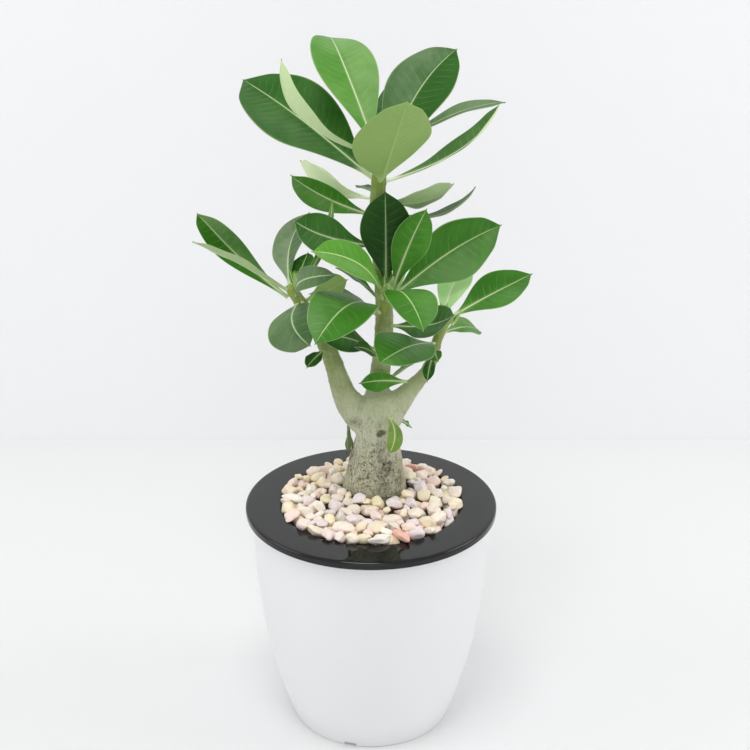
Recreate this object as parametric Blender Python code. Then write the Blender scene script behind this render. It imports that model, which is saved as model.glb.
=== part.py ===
"""Potted desert rose: outer pot, liner with a broad brim, soil, pebbles, forked trunk and leaves."""

import math
import random
from dataclasses import dataclass

import bmesh
import bpy
from mathutils import Matrix, Vector

MM = 0.001
GAP = 0.3 * MM          # clearance between pieces that touch
UP = Vector((0, 0, 1))
TURN_STEPS = 40         # facets round the pot, liner and soil

# Outer pot, from the floor up
POT_BASE_RADIUS = 53.3 * MM
POT_TOP_RADIUS = 77.6 * MM
POT_SWELL = 2.35        # how early the side swells out above the base
POT_WALL = 2.2 * MM
POT_FLOOR = 3.0 * MM
POT_LEVELS = (0, 0.06, 0.15, 0.27, 0.43, 0.66, 1)
NOTCH_WIDTH = 8.0 * MM
NOTCH_HEIGHT = 2.6 * MM
NOTCH_DEPTH = 1.2 * MM
NOTCH_ANGLE = math.radians(-105)

# Liner: a cup that hangs in the outer pot by its brim
BRIM_RADIUS = 82.5 * MM
BRIM_TOP = 156.4 * MM
BRIM_PLATE = 2.6 * MM
BRIM_LIP = 5.0 * MM     # height of the turned-down edge
BRIM_LIP_WIDTH = 2.6 * MM
BRIM_ROUND = 2.4 * MM
OPENING_RADIUS = 59.3 * MM
OPENING_ROUND = 1.2 * MM
CUP_WALL = 1.8 * MM
CUP_BASE_RADIUS = 46.0 * MM
CUP_BASE = 30.0 * MM
DRAINS = 6
DRAIN_RADIUS = 2.5 * MM
DRAIN_CIRCLE = 28.0 * MM

SOIL_TOP = 144.0 * MM

# Pebbles: a low mound, highest where it meets the trunk
PEBBLE_SEED = 11
PEBBLES = 130           # places in the spiral; those under the trunk stay empty
PEBBLE_SPREAD = 4.75 * MM
PEBBLE_REACH = 53.6 * MM
PEBBLE_HALVES = ((5.2, 6.4), (4.3, 5.1), (3.6, 4.8))    # length, width, height in mm
PEBBLE_RISE = (-0.6, 0.8)       # height of a stone's middle over the bed, in mm
BED_EDGE_TOP = 155.4 * MM
BED_HEART_TOP = 160.0 * MM
BED_HEART_REACH = 48.0 * MM

# Trunk and stems: x, y, z and radius in mm, from the foot up
ROOT_CLEARANCE = 0.4 * MM
STEMS = {
    "trunk": (
        (2.3, 13.5, 82, 9), (2.3, 13.5, 90, 15), (2.3, 13.5, 106, 19.5), (2.3, 13.5, 131, 21.6),
        (2.3, 13.5, 156, 21.6), (2.8, 13.5, 169, 19.6), (3.4, 13.5, 183, 17), (3.9, 13.3, 194, 14.9),
        (4, 13.2, 204, 14), (4.2, 13.2, 212, 15.3), (6.2, 13.6, 219, 14), (7.4, 14.5, 225, 10.5),
        (7.6, 15.4, 228.5, 5),
    ),
    "left": (
        (-2, 13.4, 208, 11.5), (-9, 13.2, 215, 10.5), (-16, 12.4, 225, 8.2), (-20.5, 11, 238, 6.8),
        (-25, 9, 254, 5.8), (-31, 7, 269, 5), (-38.5, 6, 284, 4.3), (-46, 6, 296, 3.8),
        (-50.6, 6, 303, 3.2), (-51.6, 6, 304.8, 1.5),
    ),
    "right": (
        (8.4, 13.6, 209, 11.6), (13.4, 13.6, 217, 10), (21.2, 13.8, 225.2, 7.2), (29.3, 14, 234.7, 5.1),
        (36, 13.5, 243.5, 4.2), (40, 13, 254, 3.7), (42.3, 12.6, 265, 3.3), (46.5, 12.2, 275, 2.9),
        (51, 12, 282, 2.4), (52, 12, 283.6, 1.1),
    ),
    "leader": (
        (3.5, 15.5, 210, 11), (4.6, 18.5, 228, 7.8), (6.6, 19, 246, 6.4), (8.2, 18.2, 266, 6),
        (8.4, 18.5, 286, 5.7), (7.2, 20, 304, 5.3), (5.2, 21, 326, 5), (3.9, 21, 345, 4.8),
        (4.6, 20.5, 362, 4.7), (5.6, 20, 377, 4.4),
        (5.4, 19.6, 388, 3.6), (5.3, 19.4, 392, 1.6),
    ),
    "heart": (
        (8.3, 17.5, 277, 4.6), (9, 12, 286, 4.7), (9.3, 8.5, 294, 4.3), (9.2, 6.5, 301, 3.4),
        (9.2, 6.2, 303, 1.5),
    ),
}
TRUNK_SIDES = 16
STEM_SIDES = 10

# Leaf blades
LEAF_STATIONS = (0, 0.12, 0.28, 0.46, 0.63, 0.78, 0.89, 0.96, 1)
LEAF_ACROSS = (-1, -0.5, 0, 0.5, 1)
LEAF_STEPS = 24         # short straight steps that make up a bent midrib
BLADE_THICKNESS = 0.9 * MM
RIM_THICKNESS = 0.65 * MM
KEEL = 0.9 * MM         # extra thickness of the midrib at its foot
PETIOLE_HALF = 1.3 * MM
PETIOLE_THICKNESS = 2.0 * MM
PETIOLE_END = 0.12      # share of the length by which the stalk has thinned into the blade
TIP_HALF = 0.7 * MM


@dataclass
class Leaf:
    """Lengths in mm and angles in degrees. Azimuth 0 is +X and 90 is +Y. Bend lifts or lowers the
    tip, sway turns it sideways, and roll and twist turn the blade about its midrib. A belly of 1 puts
    the widest place at mid length, and a larger one nearer the tip."""

    stem: str
    height: float
    azimuth: float
    elevation: float
    length: float
    width: float
    roll: float = 0
    bend: float = 0
    sway: float = 0
    twist: float = 0
    fold: float = 12
    belly: float = 1.5
    tone: str = "leaf_dark"


LEAVES = {
    "crown_1": Leaf("leader", 368, 140, 27, 124, 52, roll=-19, bend=-17, sway=1, twist=-12, belly=1.3),
    "crown_2": Leaf("leader", 386, 195, 18, 86, 19, roll=19, bend=81, sway=18, twist=7, fold=16),
    "crown_3": Leaf("leader", 386, 125, 56, 107, 41, roll=-3, bend=-66, sway=-24, twist=-15, belly=1.3),
    "crown_4": Leaf("leader", 370, -76, 44, 82, 47, roll=9, bend=8, sway=2, twist=-14, belly=1),
    "crown_5": Leaf("leader", 370, 54, 60, 96, 42, roll=10, bend=-30, sway=-25),
    "crown_6": Leaf("leader", 374, 88, 35, 68, 20, roll=-47, bend=-3, sway=-9, twist=-2),
    "crown_7": Leaf("leader", 385, 2, 36, 78, 19, roll=-6, bend=-33, sway=-6, twist=15),
    "crown_8": Leaf("leader", 368, -3, 19, 90, 15, roll=34, bend=60, sway=-1, twist=-5, fold=45),
    "tier_1": Leaf("leader", 346, 180, 19, 54, 20, roll=-92, sway=-27, twist=-25),
    "tier_2": Leaf("leader", 356, 161, 2, 57, 28, roll=47, bend=54, sway=11, twist=6),
    "tier_3": Leaf("leader", 360, 120, -5, 20, 10, roll=5),
    "tier_4": Leaf("leader", 354, 5, -5, 47, 26, roll=-49, bend=55, twist=6),
    "tier_5": Leaf("leader", 346, 12, -14, 64, 14, bend=73, sway=-2, twist=-12),
    "tier_6": Leaf("leader", 327, -149, 16, 63, 25, roll=-66, bend=20, sway=-18, twist=-4),
    "centre_1": Leaf("heart", 300, 90, 86, 62, 32, roll=2, bend=12, sway=2),
    "centre_2": Leaf("heart", 300, -8, 72, 56, 23, roll=98, sway=-10, twist=8, tone="leaf_bright"),
    "centre_3": Leaf("heart", 299, -106, 52, 74, 24, roll=-68, bend=-76, sway=5, twist=-8,
                     tone="leaf_bright"),
    "centre_4": Leaf("heart", 297, -142, 46, 40, 18, roll=-25, bend=-19, sway=1, twist=5),
    "centre_5": Leaf("heart", 295, 18, 37, 81, 43, roll=87, bend=16, sway=-13, twist=16),
    "centre_6": Leaf("heart", 297, -78, 38, 74, 31, roll=-7, bend=-97, sway=18, twist=16, belly=2.2),
    "right_1": Leaf("leader", 274, -30, 7, 49, 27, roll=28, bend=36, sway=9, twist=2),
    "right_2": Leaf("right", 276, 65, 57, 45, 21, roll=8, bend=-30, sway=-23, twist=-2),
    "right_3": Leaf("right", 282, 42, 12, 64, 28, roll=37, bend=18, sway=-21, twist=-22),
    "right_4": Leaf("right", 270, 46, 1, 33, 21, roll=22, bend=-30, sway=-15, twist=-6, belly=2),
    "right_5": Leaf("right", 264, -120, 19, 63, 38, bend=-36, twist=-25),
    "right_6": Leaf("right", 255, -105, -20, 18, 7, bend=-50),
    "right_7": Leaf("right", 259, -90, 5, 13, 8, roll=30, bend=-38),
    "left_1": Leaf("left", 300.5, 182, 40, 87, 17, roll=-69, bend=50, sway=-28, twist=-25),
    "left_2": Leaf("left", 304, 208, 37, 70, 12, roll=32, bend=-6, sway=-9, twist=-1, fold=20),
    "left_3": Leaf("left", 304, 98, 24, 67, 28, roll=-43, bend=-20, sway=-41, twist=5),
    "left_4": Leaf("left", 302, 72, 24, 30, 16, roll=-22, bend=5, twist=10),
    "left_5": Leaf("left", 299, -90, 39, 55, 14, roll=80, bend=-86, sway=-8, twist=10),
    "left_6": Leaf("left", 292, 20, 21, 28, 19, roll=-78),
    "left_7": Leaf("left", 293, -50, -20, 13, 7, roll=-10, bend=-30),
    "left_8": Leaf("left", 294, -108, -10, 38, 36, roll=27, bend=-112, sway=35, twist=22, belly=1.1),
    "left_9": Leaf("left", 263, -115, -2, 21, 9, roll=-17, bend=-20, sway=3, twist=2),
    "left_10": Leaf("left", 300, -16, 57, 61, 5, roll=130, bend=-49, sway=10),
    "low_1": Leaf("heart", 288, -116, 36, 84, 38, roll=-3, bend=-92, sway=13, twist=-14),
    "low_2": Leaf("leader", 280, 150, 23, 46, 27, roll=20, bend=-40, sway=21, twist=-6),
    "low_3": Leaf("leader", 258, -140, 35, 44, 27, roll=-28, bend=-40, twist=-18),
    "low_4": Leaf("leader", 254, -112, 38, 31, 11, roll=-48, bend=-30),
    "low_5": Leaf("right", 232, 187, 8, 30, 15, roll=-96, bend=22, sway=8, twist=-7, tone="leaf_bright"),
    "low_6": Leaf("leader", 236, 30, 20, 28, 14, roll=-20, bend=10),
    "trunk_1": Leaf("trunk", 217, -68, -14, 27, 11, roll=-24, bend=-88, sway=-21, tone="leaf_bright"),
    "trunk_2": Leaf("right", 212, 34, -36, 12, 4, roll=34, bend=-12, sway=-4),
    "trunk_3": Leaf("left", 212, 190, -92, 17, 6, roll=-30, bend=-20),
}

# Colour, roughness and metallic value of each material
MATERIALS = {
    "white_plastic": ((0.82, 0.83, 0.84), 0.42, 0),
    "black_plastic": ((0.012, 0.013, 0.014), 0.12, 0),
    "soil": ((0.05, 0.033, 0.022), 0.95, 0),
    "pebble": ((0.72, 0.62, 0.52), 0.55, 0),
    "bark": ((0.33, 0.36, 0.26), 0.7, 0),
    "leaf_dark": ((0.035, 0.13, 0.03), 0.32, 0),
    "leaf_bright": ((0.09, 0.30, 0.035), 0.34, 0),
}


def clear_scene():
    for obj in list(bpy.data.objects):
        bpy.data.objects.remove(obj)


def make_material(name):
    colour, roughness, metallic = MATERIALS[name]
    material = bpy.data.materials.new(name)
    material.use_nodes = True
    shader = material.node_tree.nodes["Principled BSDF"]
    shader.inputs["Base Color"].default_value = (*colour, 1)
    shader.inputs["Roughness"].default_value = roughness
    shader.inputs["Metallic"].default_value = metallic
    material.diffuse_color = (*colour, 1)
    return material


def add_object(name, bm, material=None, smooth_angle=None):
    bmesh.ops.recalc_face_normals(bm, faces=bm.faces)
    mesh = bpy.data.meshes.new(name)
    bm.to_mesh(mesh)
    bm.free()
    if smooth_angle is not None:
        mesh.shade_smooth()
        mesh.set_sharp_from_angle(angle=math.radians(smooth_angle))
    if material:
        mesh.materials.append(material)
    obj = bpy.data.objects.new(name, mesh)
    bpy.context.scene.collection.objects.link(obj)
    return obj


def apply_boolean(obj, operation, others):
    """Joins or cuts obj with a list of objects, which are then removed."""
    helpers = bpy.data.collections.new("helpers")
    for other in others:
        helpers.objects.link(other)
    modifier = obj.modifiers.new("boolean", "BOOLEAN")
    modifier.operation = operation
    modifier.operand_type = "COLLECTION"
    modifier.collection = helpers
    modifier.solver = "EXACT"
    graph = bpy.context.evaluated_depsgraph_get()
    mesh = bpy.data.meshes.new_from_object(obj.evaluated_get(graph))
    obj.modifiers.clear()
    obj.data = mesh
    for other in others:
        bpy.data.objects.remove(other)
    bpy.data.collections.remove(helpers)


def turn_profile(name, profile, material=None, smooth_angle=35):
    """A solid of revolution about Z. The profile's first and last points lie on the axis."""
    bm = bmesh.new()
    points = [bm.verts.new((radius, 0, height)) for radius, height in profile]
    edges = [bm.edges.new(pair) for pair in zip(points, points[1:])]
    bmesh.ops.spin(bm, geom=points + edges, axis=UP, cent=(0, 0, 0), steps=TURN_STEPS,
                   angle=2 * math.pi, use_merge=True)
    bmesh.ops.remove_doubles(bm, verts=bm.verts, dist=0.01 * MM)
    return add_object(name, bm, material, smooth_angle)


def pot_radius(height):
    share = height / pot_height()
    return POT_BASE_RADIUS + (POT_TOP_RADIUS - POT_BASE_RADIUS) * (1 - (1 - share) ** POT_SWELL)


def pot_height():
    return BRIM_TOP - BRIM_PLATE - GAP


def cup_radius(height):
    """Inner radius of the liner's cup, which tapers evenly to its base."""
    share = (height - CUP_BASE - CUP_WALL) / (BRIM_TOP - CUP_BASE - CUP_WALL)
    foot = CUP_BASE_RADIUS - CUP_WALL
    return foot + (OPENING_RADIUS - foot) * share


def corner(centre_radius, centre_height, size, start, end, steps=3):
    """Points on a quarter round of a profile, between two angles in degrees."""
    angles = [math.radians(start + (end - start) * i / steps) for i in range(steps + 1)]
    return [(centre_radius + size * math.cos(a), centre_height + size * math.sin(a)) for a in angles]


def build_outer_pot():
    levels = [share * pot_height() for share in POT_LEVELS]
    outside = [(pot_radius(z), z) for z in levels]
    inside = [(pot_radius(z) - POT_WALL, z) for z in reversed(levels) if z > POT_FLOOR]
    foot = (pot_radius(POT_FLOOR) - POT_WALL, POT_FLOOR)
    profile = [(0, 0)] + outside + inside + [foot, (0, POT_FLOOR)]
    pot = turn_profile("outer_pot", profile, make_material("white_plastic"))
    bm = bmesh.new()
    bmesh.ops.create_cube(bm, size=1)
    bmesh.ops.scale(bm, verts=bm.verts, vec=(4 * NOTCH_DEPTH, NOTCH_WIDTH, 2 * NOTCH_HEIGHT))
    reach = POT_BASE_RADIUS + NOTCH_DEPTH
    bmesh.ops.translate(bm, verts=bm.verts, vec=(reach, 0, 0))
    bmesh.ops.rotate(bm, verts=bm.verts, cent=(0, 0, 0), matrix=Matrix.Rotation(NOTCH_ANGLE, 3, "Z"))
    apply_boolean(pot, "DIFFERENCE", [add_object("notch", bm)])


def build_liner():
    underside = BRIM_TOP - BRIM_PLATE
    lip_bottom = BRIM_TOP - BRIM_LIP
    lip_inside = BRIM_RADIUS - BRIM_LIP_WIDTH
    profile = [(0, CUP_BASE), (CUP_BASE_RADIUS, CUP_BASE), (cup_radius(underside) + CUP_WALL, underside),
               (lip_inside, underside), (lip_inside, lip_bottom), (BRIM_RADIUS, lip_bottom)]
    profile += corner(BRIM_RADIUS - BRIM_ROUND, BRIM_TOP - BRIM_ROUND, BRIM_ROUND, 0, 90)
    profile += corner(OPENING_RADIUS + OPENING_ROUND, BRIM_TOP - OPENING_ROUND, OPENING_ROUND, 90, 180)
    floor = CUP_BASE + CUP_WALL
    profile += [(cup_radius(floor), floor), (0, floor)]
    liner = turn_profile("liner", profile, make_material("black_plastic"))
    drains = []
    for i in range(DRAINS):
        angle = 2 * math.pi * i / DRAINS
        bm = bmesh.new()
        bmesh.ops.create_cone(bm, cap_ends=True, segments=12, radius1=DRAIN_RADIUS,
                              radius2=DRAIN_RADIUS, depth=6 * CUP_WALL)
        place = (DRAIN_CIRCLE * math.cos(angle), DRAIN_CIRCLE * math.sin(angle), CUP_BASE)
        bmesh.ops.translate(bm, verts=bm.verts, vec=place)
        drains.append(add_object("drain", bm))
    apply_boolean(liner, "DIFFERENCE", drains)


def tube(name, stations, sides, grow=0.0):
    """A closed tube through (centre, radius) stations, each ring square to the path."""
    bm = bmesh.new()
    rings = []
    for i, (centre, radius) in enumerate(stations):
        before = stations[max(i - 1, 0)][0]
        after = stations[min(i + 1, len(stations) - 1)][0]
        turn = UP.rotation_difference(after - before)
        corners = [Vector((math.cos(a), math.sin(a), 0)) * (radius + grow)
                   for a in (2 * math.pi * j / sides for j in range(sides))]
        rings.append([bm.verts.new(centre + turn @ c) for c in corners])
    for low, high in zip(rings, rings[1:]):
        for j in range(sides):
            k = (j + 1) % sides
            bm.faces.new((low[j], low[k], high[k], high[j]))
    bm.faces.new(rings[0][::-1])
    bm.faces.new(rings[-1])
    return add_object(name, bm)


def stem_stations(stem):
    return [(Vector(row[:3]) * MM, row[3] * MM) for row in STEMS[stem]]


def root_hole():
    """The buried part of the trunk with a little clearance all round."""
    stations = stem_stations("trunk")
    foot, radius = stations[0]
    stations[0] = (foot - UP * ROOT_CLEARANCE, radius)
    return tube("root_hole", stations, TRUNK_SIDES, ROOT_CLEARANCE)


def build_soil():
    floor = CUP_BASE + CUP_WALL + GAP
    profile = [(0, floor), (cup_radius(floor) - GAP, floor), (cup_radius(SOIL_TOP) - GAP, SOIL_TOP),
               (0, SOIL_TOP)]
    soil = turn_profile("soil", profile, make_material("soil"))
    apply_boolean(soil, "DIFFERENCE", [root_hole()])


def bed_top(x, y):
    """Height of the bed of pebbles, which rises towards the trunk."""
    trunk_x, trunk_y = STEMS["trunk"][4][:2]
    trunk_radius = STEMS["trunk"][4][3] * MM
    away = math.hypot(x - trunk_x * MM, y - trunk_y * MM) - trunk_radius
    share = min(1, max(0, 1 - away / (BED_HEART_REACH - trunk_radius)))
    return BED_EDGE_TOP + (BED_HEART_TOP - BED_EDGE_TOP) * share


def build_bed():
    bed_low = SOIL_TOP + GAP
    profile = [(0, bed_low), (cup_radius(bed_low) - GAP, bed_low), (OPENING_RADIUS - 2 * GAP, BED_EDGE_TOP)]
    profile += [(share * OPENING_RADIUS, BED_EDGE_TOP) for share in (0.8, 0.6, 0.4)]
    profile += [(0, BED_EDGE_TOP)]
    bed = turn_profile("pebbles", profile, make_material("pebble"), smooth_angle=None)
    for vertex in bed.data.vertices:
        x, y, z = vertex.co
        if z > BED_EDGE_TOP - GAP:
            vertex.co.z = bed_top(x, y)
    return bed


def pebble_places():
    """Spiral places over the opening, (x, y, distance from the axis), clear of the trunk."""
    trunk_x, trunk_y = STEMS["trunk"][4][:2]
    trunk_radius = STEMS["trunk"][4][3] * MM
    golden = math.pi * (3 - math.sqrt(5))
    for i in range(PEBBLES):
        away = min(PEBBLE_SPREAD * math.sqrt(i + 0.5), PEBBLE_REACH)
        x, y = away * math.cos(i * golden), away * math.sin(i * golden)
        if math.hypot(x - trunk_x * MM, y - trunk_y * MM) > trunk_radius:
            yield x, y, away


def build_pebbles():
    draw = random.Random(PEBBLE_SEED)
    stones = []
    for x, y, away in pebble_places():
        halves = [draw.uniform(low, high) * MM for low, high in PEBBLE_HALVES]
        loose = 1.0 if away < PEBBLE_REACH - halves[0] else 0.15
        heading = math.atan2(y, x) + math.pi / 2 + draw.uniform(-1.5, 1.5) * loose
        tilt = draw.uniform(-0.45, 0.45) * loose
        bm = bmesh.new()
        bmesh.ops.create_icosphere(bm, subdivisions=1, radius=1)
        turn = Matrix.Rotation(draw.uniform(0, 6), 4, "Z") @ Matrix.Rotation(draw.uniform(0, 6), 4, "X")
        bmesh.ops.transform(bm, verts=bm.verts, matrix=turn)
        place = Matrix.Translation((x, y, bed_top(x, y) + draw.uniform(*PEBBLE_RISE) * MM))
        place @= Matrix.Rotation(heading, 4, "Z") @ Matrix.Rotation(tilt, 4, "Y")
        bmesh.ops.transform(bm, verts=bm.verts, matrix=place @ Matrix.Diagonal((*halves, 1)))
        stones.append(add_object("stone", bm))
    pebbles = build_bed()
    apply_boolean(pebbles, "UNION", stones)
    apply_boolean(pebbles, "DIFFERENCE", [root_hole()])


def build_trunk():
    trunk = tube("trunk", stem_stations("trunk"), TRUNK_SIDES)
    limbs = [tube(name, stem_stations(name), STEM_SIDES) for name in STEMS if name != "trunk"]
    apply_boolean(trunk, "UNION", limbs)
    trunk.data.shade_smooth()
    trunk.data.set_sharp_from_angle(angle=math.radians(60))
    trunk.data.materials.clear()
    trunk.data.materials.append(make_material("bark"))


def stem_at(stem, height):
    """Centre, direction and radius of a stem where it passes this height."""
    stations = stem_stations(stem)
    for (low, low_radius), (high, high_radius) in zip(stations, stations[1:]):
        if height <= high.z or high is stations[-1][0]:
            share = min(1, (height - low.z) / (high.z - low.z))
            radius = low_radius + (high_radius - low_radius) * share
            return low.lerp(high, share), (high - low).normalized(), radius
    raise ValueError(stem)


def midrib(leaf):
    """Frames along the leaf: point, heading, side and up, from its seat on the stem to its tip."""
    azimuth, elevation = math.radians(leaf.azimuth), math.radians(leaf.elevation)
    aim = Vector((math.cos(elevation) * math.cos(azimuth), math.cos(elevation) * math.sin(azimuth),
                  math.sin(elevation)))
    centre, axis, radius = stem_at(leaf.stem, leaf.height * MM)
    out = (aim - axis * aim.dot(axis)).normalized()
    side = UP.cross(aim).normalized()
    side.rotate(Matrix.Rotation(math.radians(leaf.roll), 3, aim))
    stalk = PETIOLE_HALF * abs(side.dot(out)) + PETIOLE_THICKNESS / 2 * abs(aim.cross(side).dot(out))
    point = centre + out * (radius + GAP + stalk)
    frames = []
    for i in range(LEAF_STEPS + 1):
        share = i / LEAF_STEPS
        late = share ** 1.6
        across = side.copy()
        across.rotate(Matrix.Rotation(math.radians(leaf.twist) * share, 3, aim))
        heading = aim.copy()
        heading.rotate(Matrix.Rotation(-math.radians(leaf.bend) * late, 3, across))
        swing = Matrix.Rotation(math.radians(leaf.sway) * late, 3, aim.cross(across))
        heading.rotate(swing)
        across.rotate(swing)
        frames.append((point.copy(), heading, across, heading.cross(across)))
        point = point + heading * leaf.length * MM / LEAF_STEPS
    return frames


def blade_half(leaf, share):
    """Half the blade's width: narrow at the stalk, widest at two thirds, round at the tip."""
    arch = math.sin(math.pi * min(share, 0.999) ** leaf.belly)
    blade = leaf.width * MM / 2 * arch ** (1.25 - 0.65 * share)
    return max(TIP_HALF, PETIOLE_HALF * (1 - share) + blade)


def blade_thickness(share, across):
    stalk = max(0, 1 - share / PETIOLE_END)
    blade = RIM_THICKNESS + (BLADE_THICKNESS - RIM_THICKNESS) * (1 - abs(across))
    blade += KEEL * (1 - share) * max(0, 1 - 2 * abs(across))
    return blade + (PETIOLE_THICKNESS - blade) * stalk


def leaf_point(leaf, frames, share, across):
    """Middle of the blade's thickness and the direction out of its upper side."""
    position = share * LEAF_STEPS
    low = min(int(position), LEAF_STEPS - 1)
    point, _, side, up = (a.lerp(b, position - low) for a, b in zip(frames[low], frames[low + 1]))
    half = blade_half(leaf, share)
    fold = math.radians(leaf.fold)
    rise = half * math.sin(fold) * (math.sqrt(across * across + 0.06) - math.sqrt(0.06))
    return point + side * across * half * math.cos(fold) + up * rise, up


def build_leaf(name, leaf, material):
    frames = midrib(leaf)
    bm = bmesh.new()
    upper, lower = [], []
    for share in LEAF_STATIONS:
        row = [leaf_point(leaf, frames, share, across) for across in LEAF_ACROSS]
        half = [blade_thickness(share, across) / 2 for across in LEAF_ACROSS]
        upper.append([bm.verts.new(p + up * h) for (p, up), h in zip(row, half)])
        lower.append([bm.verts.new(p - up * h) for (p, up), h in zip(row, half)])
    last = len(LEAF_ACROSS) - 1
    for i in range(len(LEAF_STATIONS) - 1):
        for j in range(last):
            for rows in (upper, lower):
                a, b, c, d = rows[i][j], rows[i + 1][j], rows[i + 1][j + 1], rows[i][j + 1]
                bm.faces.new((a, b, c))
                bm.faces.new((a, c, d))
        for j in (0, last):
            bm.faces.new((upper[i][j], upper[i + 1][j], lower[i + 1][j], lower[i][j]))
    for i in (0, -1):
        bm.faces.new(upper[i] + lower[i][::-1])
    add_object("leaf_" + name, bm, material, smooth_angle=50)


def build_leaves():
    tones = {leaf.tone for leaf in LEAVES.values()}
    materials = {tone: make_material(tone) for tone in sorted(tones)}
    for name, leaf in LEAVES.items():
        build_leaf(name, leaf, materials[leaf.tone])


clear_scene()
build_outer_pot()
build_liner()
build_soil()
build_pebbles()
build_trunk()
build_leaves()
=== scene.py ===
"""Looks of the potted desert rose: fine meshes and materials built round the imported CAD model."""

import math
import random
from dataclasses import dataclass
from functools import partialmethod

import bmesh
import bpy
import numpy as np
from mathutils import Euler, Matrix, Vector, noise


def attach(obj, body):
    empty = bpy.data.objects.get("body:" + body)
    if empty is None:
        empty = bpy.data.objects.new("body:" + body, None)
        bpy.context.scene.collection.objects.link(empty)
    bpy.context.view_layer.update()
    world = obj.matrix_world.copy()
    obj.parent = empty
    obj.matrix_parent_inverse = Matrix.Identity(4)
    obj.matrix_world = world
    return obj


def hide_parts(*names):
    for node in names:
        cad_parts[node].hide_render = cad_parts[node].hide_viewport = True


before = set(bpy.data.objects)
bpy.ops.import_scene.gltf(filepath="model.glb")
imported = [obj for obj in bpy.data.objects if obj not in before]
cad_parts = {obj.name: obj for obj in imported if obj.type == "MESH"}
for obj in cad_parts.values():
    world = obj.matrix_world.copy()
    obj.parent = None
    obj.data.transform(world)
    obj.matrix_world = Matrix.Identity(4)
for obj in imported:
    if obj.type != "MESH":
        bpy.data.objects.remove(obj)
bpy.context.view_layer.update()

SCENE = bpy.context.scene
MM = 0.001
GAP = 0.3 * MM  # clearance between neighbouring pieces
UP = Vector((0, 0, 1))
TURN_STEPS = 144  # facets round the pot and the liner

# Outer pot
POT_BASE_RADIUS = 53.3 * MM
POT_TOP_RADIUS = 77.6 * MM
POT_SWELL = 2.35
POT_WALL = 2.2 * MM
POT_FLOOR = 3.0 * MM
POT_FOOT_ROUND = 0.9 * MM
POT_LEVELS = 36
NOTCH_WIDTH = 8.0 * MM
NOTCH_HEIGHT = 2.6 * MM
NOTCH_DEPTH = 1.2 * MM
NOTCH_ROUND = 0.5 * MM
NOTCH_ANGLE = -105  # degrees

# Liner
BRIM_RADIUS = 82.5 * MM
BRIM_TOP = 156.4 * MM
BRIM_PLATE = 2.6 * MM
POT_HEIGHT = BRIM_TOP - BRIM_PLATE - GAP
BRIM_LIP = 5.0 * MM
BRIM_LIP_WIDTH = 2.6 * MM
BRIM_ROUND = 1.7 * MM
BRIM_RINGS = 8
BRIM_RING_STEP = 2.0 * MM
LIP_FOOT_ROUND = 0.6 * MM
OPENING_RADIUS = 59.3 * MM
OPENING_ROUND = 1.2 * MM
CUP_WALL = 1.8 * MM
CUP_BASE_RADIUS = 46.0 * MM
CUP_BASE = 30.0 * MM
DRAINS = 6
DRAIN_SIDES = 24
DRAIN_RADIUS = 2.5 * MM
DRAIN_CIRCLE = 28.0 * MM

SOIL_TOP = 144.0 * MM
BLACK_RESIN = (0.005, 0.0054, 0.0058)
GRIT_LIGHT = (0.3, 0.22, 0.15)

# Pebbles: a low mound, highest where it meets the trunk
BED_EDGE_TOP = 155.4 * MM
BED_HEART_TOP = 160.0 * MM
BED_HEART_REACH = 48.0 * MM
BED_RINGS = 40
BED_SIDES = 96
GRIT_DEPTH = 4.5 * MM  # the grit under the stones lies this far below the bed's top
GRIT_LUMP = 0.9 * MM
STONE_SEED = 23
STONES = 500
SMALL_STONES = 110  # the last ones are small and drop into the gaps
STONE_TRIES = 24  # places tried for each stone; it takes the lowest
STONE_HALVES = ((4.7, 8.0), (3.5, 5.3), (2.9, 4.4))  # length, width, height in mm
SMALL_SIZES = (0.5, 0.8)
STONE_TILTS = (0.7, 0.45)  # most that a stone leans about its length and width, in radians
STONE_HARD = 0.9  # other stones sink into the rest of its size
EDGE_EACH = 3  # each third stone falls near the edge,
EDGE_SHARE = 0.75  # outside this share of the heap's area
TRUNK_SINK = 0.8 * MM  # how far a stone may reach into the trunk
STONE_BALL = 1.12  # radius of a stone before its flats are worn
STONE_FLATS = 13  # worn flats on each stone
FLAT_DEPTHS = (0.66, 0.98)
FLAT_FACING = 0.25  # cosine of the angle from which a flat still counts
BLUNTNESS = 24  # a larger number leaves sharper corners
STONE_REACH = 57.2 * MM  # of the stones' middles from the pot's axis
HEAP_RISE = 6.8 * MM  # how far a stone may stand out of the bed
HEAP_HALF = 68 * MM  # half of the square on which the heights of the heap are kept
HEAP_CELL = 0.5 * MM
STONE_COLOURS = (
    (0.95, 0.86, 0.62), (0.95, 0.87, 0.7), (0.97, 0.92, 0.82), (0.95, 0.78, 0.66),
    (0.94, 0.79, 0.72), (0.95, 0.85, 0.58), (0.87, 0.77, 0.78), (0.95, 0.83, 0.72),
    (0.97, 0.93, 0.85), (0.95, 0.85, 0.73), (0.94, 0.81, 0.6), (0.95, 0.74, 0.66),
)
STONE_SHADES = (0.94, 1.04)
SALMON = (0.88, 0.46, 0.36)
SALMON_PLACES = ((27, 46), (14, -52))  # x and y in mm
SALMON_NEAR = 6.0  # mm

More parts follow.
